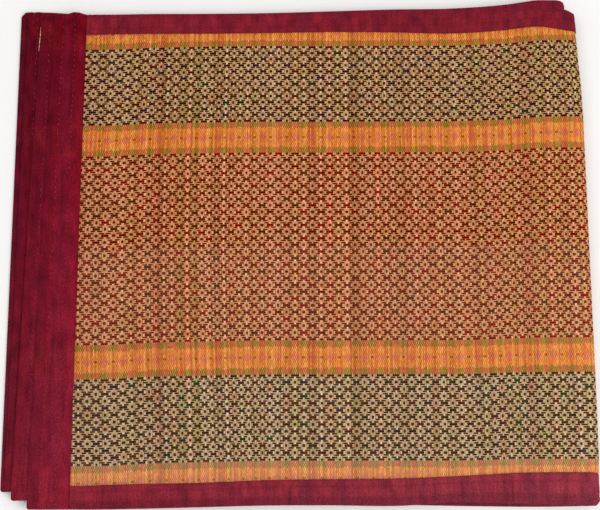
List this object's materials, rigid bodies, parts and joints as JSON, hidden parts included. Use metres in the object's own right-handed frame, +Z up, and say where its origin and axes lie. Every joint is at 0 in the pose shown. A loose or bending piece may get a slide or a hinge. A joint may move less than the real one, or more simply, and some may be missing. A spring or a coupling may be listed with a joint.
{
  "type": "folded woven grass floor mat",
  "caption": "Double woven grass floor mat with patterned bands and dark red cloth bindings, folded at its centre strip and then in half.",
  "frame": {"origin": "middle of the folded mat's box, on the surface that it rests on", "axes": "+X towards the bend, along the warp; +Y towards the back fold, along the reeds; +Z up"},
  "size_m": [0.904, 0.806, 0.0276],
  "materials": {
    "woven_grass": "split grass reeds woven with coloured cotton, slight sheen",
    "binding_cloth": "thin plain cotton, matt"
  },
  "bodies": {
    "root": {"panel_outer": "woven_grass", "panel_inner": "woven_grass", "centre_strip": "binding_cloth", "side_binding_outer": "binding_cloth", "side_binding_inner": "binding_cloth", "end_binding_upper": "binding_cloth", "end_binding_lower": "binding_cloth"}
  },
  "joints": []
}
